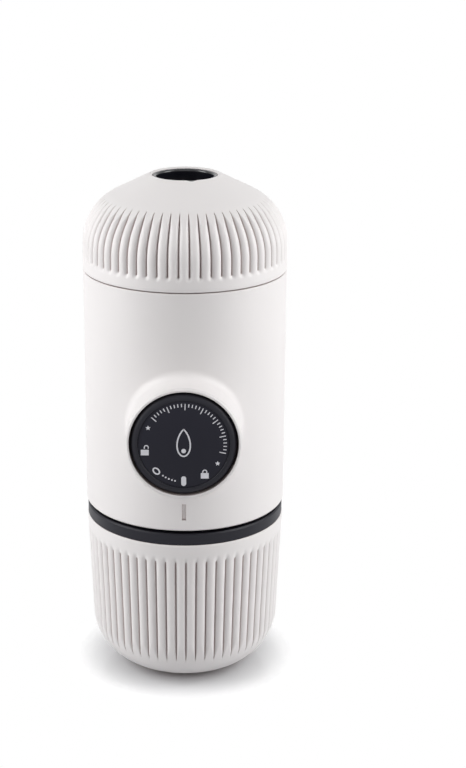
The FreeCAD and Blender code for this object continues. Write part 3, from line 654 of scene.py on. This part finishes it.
def raiseLugs():
    # Extrudes the three locking lugs out of the skirt's inner end, where the active object is still upright
    look = knobLook
    bpy.ops.object.mode_set(mode="OBJECT")
    halfTurn = math.degrees(look["lugWidth"] / look["radius"]) / 2
    for face in bpy.context.object.data.polygons:
        x, y, z = face.center
        radius = math.hypot(x, y) / mm
        turn = (math.degrees(math.atan2(y, x)) - 90) % (360 / look["lugs"])
        turn = min(turn, 360 / look["lugs"] - turn)
        low, high = look["back"] + look["endEdge"], look["back"] + look["lugLength"]
        face.select = radius > look["radius"] - look["endEdge"] / 2 and low < z / mm < high and turn < halfTurn
    bpy.ops.object.mode_set(mode="EDIT")
    bpy.ops.mesh.select_mode(type="FACE")
    bpy.ops.mesh.extrude_region_move()
    bpy.ops.transform.shrink_fatten(value=-look["lugReach"] * mm)
    bpy.ops.mesh.select_all(action="SELECT")
    bpy.ops.mesh.normals_make_consistent(inside=False)


def knobFace():
    look = knobLook
    low = look["front"] - look["facePocket"]
    high = low + look["faceThickness"]
    profile = [(look["faceRadius"], low)]
    profile += [(look["faceRadius"] + out, high + up) for out, up in look["faceEdge"]]
    turnedShell([(r * mm, z * mm) for r, z in profile], look["columns"])
    closeLoop(capEnds=True)
    bpy.ops.object.mode_set(mode="OBJECT")
    ontoPump()
    face = endEditing("knobFace", "dialFace", 30)
    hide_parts("knob_face")
    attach(face, "plunger")


dialLook = {
    "lift": 0.03, "sink": 0.01, "stroke": 0.42,
    "bar": {"at": (0, -11.2), "width": 1.45, "length": 3.0},
    "dots": [(-6.0, -9.5), (-5.2, -10.05), (-4.3, -10.5), (-3.4, -10.85), (-2.5, -11.1)], "dotRadius": 0.26,
    "ring": {"at": (-7.9, -8.1), "width": 1.9, "length": 2.6, "turn": 44},
    "gems": [(-10.2, 5.1), (9.8, -5.7)], "gemRadius": 0.75,
    "gemWaist": 0.5,
    "locks": [{"at": (-11.2, -2.4), "bow": (-10.75, -0.825)}, {"at": (6.1, -9.5), "bow": (6.1, -8.3)}],
    "lockWidth": 2.3, "lockHeight": 1.7, "bowRadius": 0.72, "bowStroke": 0.3, "bowLegs": 0.4,
    "ticks": {"radius": 11.5, "from": 138, "to": -12, "step": 5, "width": 0.28, "short": 1.0, "long": 1.9,
              "longEvery": 5},
    "drop": {"radius": 2.835, "tip": 6.2, "low": -1.3, "belly": 2.43, "lean": 1.35, "shoulder": 0.42,
             "inner": 1.35, "innerAt": (0, -1.9)},
}


def flatShape(corners, at):
    # Filled outline on the dial, in mm, made from a primitive circle with one corner per point
    bpy.ops.object.select_all(action="DESELECT")
    bpy.ops.mesh.primitive_circle_add(vertices=len(corners), radius=1, fill_type="NGON", location=(0, 0, 0))
    shape = bpy.context.object
    for vertex, (u, v) in zip(shape.data.vertices, corners):
        vertex.co = ((at[0] + u) * mm, (at[1] + v) * mm, 0)
    return shape


def hollowOut(stroke):
    # Leaves only a band of the active shape's outline
    bpy.ops.object.mode_set(mode="EDIT")
    bpy.ops.mesh.select_mode(type="FACE")
    bpy.ops.mesh.select_all(action="SELECT")
    bpy.ops.mesh.inset(thickness=stroke * mm)
    bpy.ops.mesh.delete(type="FACE")
    bpy.ops.object.mode_set(mode="OBJECT")


def turned(corners, turn):
    # Corners turned about their own middle, in degrees
    cosine, sine = math.cos(math.radians(turn)), math.sin(math.radians(turn))
    return [(u * cosine - v * sine, u * sine + v * cosine) for u, v in corners]


def ovalCorners(width, length, count):
    return [(width / 2 * math.cos(tau * i / count), length / 2 * math.sin(tau * i / count))
            for i in range(count)]


def pillCorners(width, length, count):
    # Bar with round ends
    corners = []
    for i in range(count):
        angle = tau * i / count
        rise = (length - width) / 2 if math.sin(angle) > 0 else (width - length) / 2
        corners.append((width / 2 * math.cos(angle), width / 2 * math.sin(angle) + rise))
    return corners


def gemCorners(radius, waist):
    # Five-pointed mark
    reaches = [radius, radius * waist] * 5
    return [(reach * math.sin(tau * i / 10), reach * math.cos(tau * i / 10)) for i, reach in enumerate(reaches)]


def barCorners(length, width):
    u, v = length / 2, width / 2
    return [(-u, -v), (u, -v), (u, v), (-u, v)]


def bowCorners(radius, stroke, legs):
    # Half ring with two straight legs
    small = radius - stroke
    outer = arcPoints(0, 0, radius, 0, 180, 16)
    inner = arcPoints(0, 0, small, 180, 0, 16)
    return [(radius, -legs)] + outer + [(-radius, -legs), (-small, -legs)] + inner + [(small, -legs)]


def dropCorners(look, count=56):
    # Round below, drawn to a point above
    corners = []
    for i in range(count):
        angle = tau * i / count
        lean = (0.5 - 0.5 * math.cos(angle)) ** look["lean"]
        corners.append((look["radius"] * math.sin(angle) * lean ** look["shoulder"],
                        look["low"] + look["tip"] * (1 - lean) - look["belly"] * lean))
    return corners


def dialMarks():
    look = dialLook
    marks = [flatShape(pillCorners(look["bar"]["width"], look["bar"]["length"], 24), look["bar"]["at"])]
    for at in look["dots"]:
        marks.append(flatShape(ovalCorners(2 * look["dotRadius"], 2 * look["dotRadius"], 14), at))
    for at in look["gems"]:
        marks.append(flatShape(gemCorners(look["gemRadius"], look["gemWaist"]), at))
    ring = look["ring"]
    marks.append(flatShape(turned(ovalCorners(ring["width"], ring["length"], 28), ring["turn"]), ring["at"]))
    hollowOut(look["stroke"])
    drop = look["drop"]
    marks.append(flatShape(dropCorners(drop), (0, 0)))
    hollowOut(look["stroke"])
    marks.append(flatShape(ovalCorners(drop["inner"], drop["inner"], 20), drop["innerAt"]))
    for lock in look["locks"]:
        marks.append(flatShape(barCorners(look["lockWidth"], look["lockHeight"]), lock["at"]))
        marks.append(flatShape(bowCorners(look["bowRadius"], look["bowStroke"], look["bowLegs"]), lock["bow"]))
    ticks = look["ticks"]
    for i in range(int((ticks["from"] - ticks["to"]) / ticks["step"]) + 1):
        turn = ticks["from"] - ticks["step"] * i
        length = ticks["long"] if i % ticks["longEvery"] == 0 else ticks["short"]
        reach = ticks["radius"] + (ticks["long"] - length) / 2
        at = (reach * math.cos(math.radians(turn)), reach * math.sin(math.radians(turn)))
        marks.append(flatShape(turned(barCorners(length, ticks["width"]), turn), at))
    bpy.ops.object.select_all(action="DESELECT")
    for mark in marks:
        mark.select_set(True)
    bpy.context.view_layer.objects.active = marks[0]
    bpy.ops.object.join()
    bpy.ops.object.mode_set(mode="EDIT")
    bpy.ops.mesh.select_all(action="SELECT")
    thickness = (look["lift"] + look["sink"]) * mm
    bpy.ops.mesh.extrude_region_move(TRANSFORM_OT_translate={"value": (0, 0, thickness)})
    bpy.ops.mesh.select_all(action="SELECT")
    bpy.ops.mesh.normals_make_consistent(inside=False)
    bpy.ops.object.mode_set(mode="OBJECT")
    front = knobLook["front"] - knobLook["facePocket"] + knobLook["faceThickness"]
    for vertex in bpy.context.object.data.vertices:
        vertex.co.z += (front - look["sink"]) * mm
    ontoPump()
    printed = endEditing("dialMarks", "printWhite", 20)
    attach(printed, "plunger")


# The rest of the CAD nodes keep their shape

plainNodes = {
    "tank_vessel": "smokePlastic", "vent_valve": "milkySilicone", "tank_seal": "redSeal",
    "tank_socket": "greyChassis", "inlet_strainer": "brushedSteel", "inlet_valve": "milkySilicone",
    "outlet_valve": "milkySilicone", "duct_seals": "redSeal", "pump_block": "greyChassis",
    "pump_cylinder": "pumpPlastic", "plunger_rod": "pumpPlastic", "piston_seal": "redSeal",
    "return_spring": "brushedSteel", "knob_screw": "brushedSteel", "brew_block": "greyChassis",
    "chassis_screws": "brushedSteel", "shower_screen": "brushedSteel", "screen_screw": "brushedSteel",
    "brew_gasket": "redSeal", "filter_basket": "brushedSteel", "cup_ring": "redSeal",
    "outlet_nozzle": "milkySilicone",
}


def dressPlainNodes():
    for name, material in plainNodes.items():
        mesh = nodes[name].data
        mesh.materials.clear()
        mesh.materials.append(materials[material])


# Floor and light

stageLook = {
    "floorSize": 6.0, "floorColour": (0.6, 0.6, 0.61, 1), "floorGlow": 0.85, "floorRoughness": 0.1,
    # the reach and power values shape the floor's painted contact shadow
    "paintedShadowReach": 0.014, "paintedShadowPower": 2.8, "worldStrength": 0.22,
    "lamps": {
        "frontFill": {"at": (0, -1.5, 0.85), "aim": 0.1, "size": (1.2, 1.0), "power": 2.0},
        "leftPanel": {"at": (-0.48, -0.1, 0.33), "aim": 0.11, "size": (0.3, 0.55), "power": 2.6},
        "rightPanel": {"at": (0.48, -0.1, 0.33), "aim": 0.11, "size": (0.3, 0.55), "power": 2.55},
    },
}


def shownRays(tree):
    # 1 for the rays that show the background: the camera's own and those off gloss, metal or glass
    rays = addNode(tree, "ShaderNodeLightPath")
    total = rays.outputs["Is Camera Ray"]
    for kind in ("Is Glossy Ray", "Is Transmission Ray"):
        either = addNode(tree, "ShaderNodeMath", operation="MAXIMUM")
        tree.links.new(total, either.inputs[0])
        tree.links.new(rays.outputs[kind], either.inputs[1])
        total = either.outputs[0]
    return rays, total


def addFloor():
    # White floor. Where the object stands close it is solid and dark, which leaves a painted contact shadow:
    # ambient occlusion fades its glow and cover, and the lamps' shadow rays pass through it. The background
    # shows through the rest, so pieces that a joint lowers stay in sight.
    look = stageLook
    clearSelection()
    bpy.ops.mesh.primitive_plane_add(size=look["floorSize"], location=(0, 0, 0))
    floor = bpy.context.object
    floor.name = "floor"
    material = bpy.data.materials.new("paleFloor")
    material.use_nodes = True
    tree = material.node_tree
    shader = tree.nodes["Principled BSDF"]
    shader.inputs["Base Color"].default_value = look["floorColour"]
    shader.inputs["Roughness"].default_value = look["floorRoughness"]
    shader.inputs["Emission Color"].default_value = (1, 1, 1, 1)
    rays, shown = shownRays(tree)
    # painted contact shadow: ambient occlusion dims the floor's glow and makes the floor solid near the object
    paintedShadowOcclusion = addNode(tree, "ShaderNodeAmbientOcclusion")
    paintedShadowOcclusion.inputs["Distance"].default_value = look["paintedShadowReach"]
    paintedShadowFade = addNode(tree, "ShaderNodeMath", operation="POWER")
    paintedShadowFade.inputs[1].default_value = look["paintedShadowPower"]
    tree.links.new(paintedShadowOcclusion.outputs["AO"], paintedShadowFade.inputs[0])
    glowWithPaintedShadow = addNode(tree, "ShaderNodeMath", operation="MULTIPLY")
    glowWithPaintedShadow.inputs[1].default_value = look["floorGlow"]
    tree.links.new(paintedShadowFade.outputs[0], glowWithPaintedShadow.inputs[0])
    seen = addNode(tree, "ShaderNodeMath", operation="MULTIPLY")
    tree.links.new(shown, seen.inputs[0])
    tree.links.new(glowWithPaintedShadow.outputs[0], seen.inputs[1])
    tree.links.new(seen.outputs[0], shader.inputs["Emission Strength"])
    paintedShadowCover = addNode(tree, "ShaderNodeMath", operation="MULTIPLY")
    tree.links.new(shown, paintedShadowCover.inputs[0])
    tree.links.new(paintedShadowFade.outputs[0], paintedShadowCover.inputs[1])
    through = addNode(tree, "ShaderNodeMath", operation="MAXIMUM")
    tree.links.new(paintedShadowCover.outputs[0], through.inputs[0])
    tree.links.new(rays.outputs["Is Shadow Ray"], through.inputs[1])
    blend = addNode(tree, "ShaderNodeMixShader")
    tree.links.new(through.outputs[0], blend.inputs[0])
    tree.links.new(shader.outputs[0], blend.inputs[1])
    tree.links.new(addNode(tree, "ShaderNodeBsdfTransparent").outputs[0], blend.inputs[2])
    tree.links.new(blend.outputs[0], tree.nodes["Material Output"].inputs["Surface"])
    floor.data.materials.append(material)


def addLamps():
    for name, lamp in stageLook["lamps"].items():
        clearSelection()
        aim = Vector((0, 0, lamp["aim"])) - Vector(lamp["at"])
        bpy.ops.object.light_add(type="AREA", location=lamp["at"],
                                 rotation=aim.to_track_quat("-Z", "Y").to_euler())
        light = bpy.context.object
        light.name = name
        light.data.shape = "RECTANGLE"
        light.data.size, light.data.size_y = lamp["size"]
        light.data.energy = lamp["power"]


def addWorld():
    world = bpy.data.worlds.new("studio")
    bpy.context.scene.world = world
    world.use_nodes = True
    background = world.node_tree.nodes["Background"]
    background.inputs["Color"].default_value = (1, 1, 1, 1)
    _, shown = shownRays(world.node_tree)
    white = mixFloat(world.node_tree, stageLook["worldStrength"], 1.0, shown)
    world.node_tree.links.new(white, background.inputs["Strength"])


addCamera()
drinkingCup()
print("cup made")
tankDome()
ventGuard()
print("dome made")
bodyShell()
bandAndHolder()
print("body and filter holder made")
knobSleeve()
knobFace()
dialMarks()
print("knob made")
dressPlainNodes()
addFloor()
addLamps()
addWorld()
bpy.context.scene.view_settings.view_transform = "Standard"
bpy.context.view_layer.update()
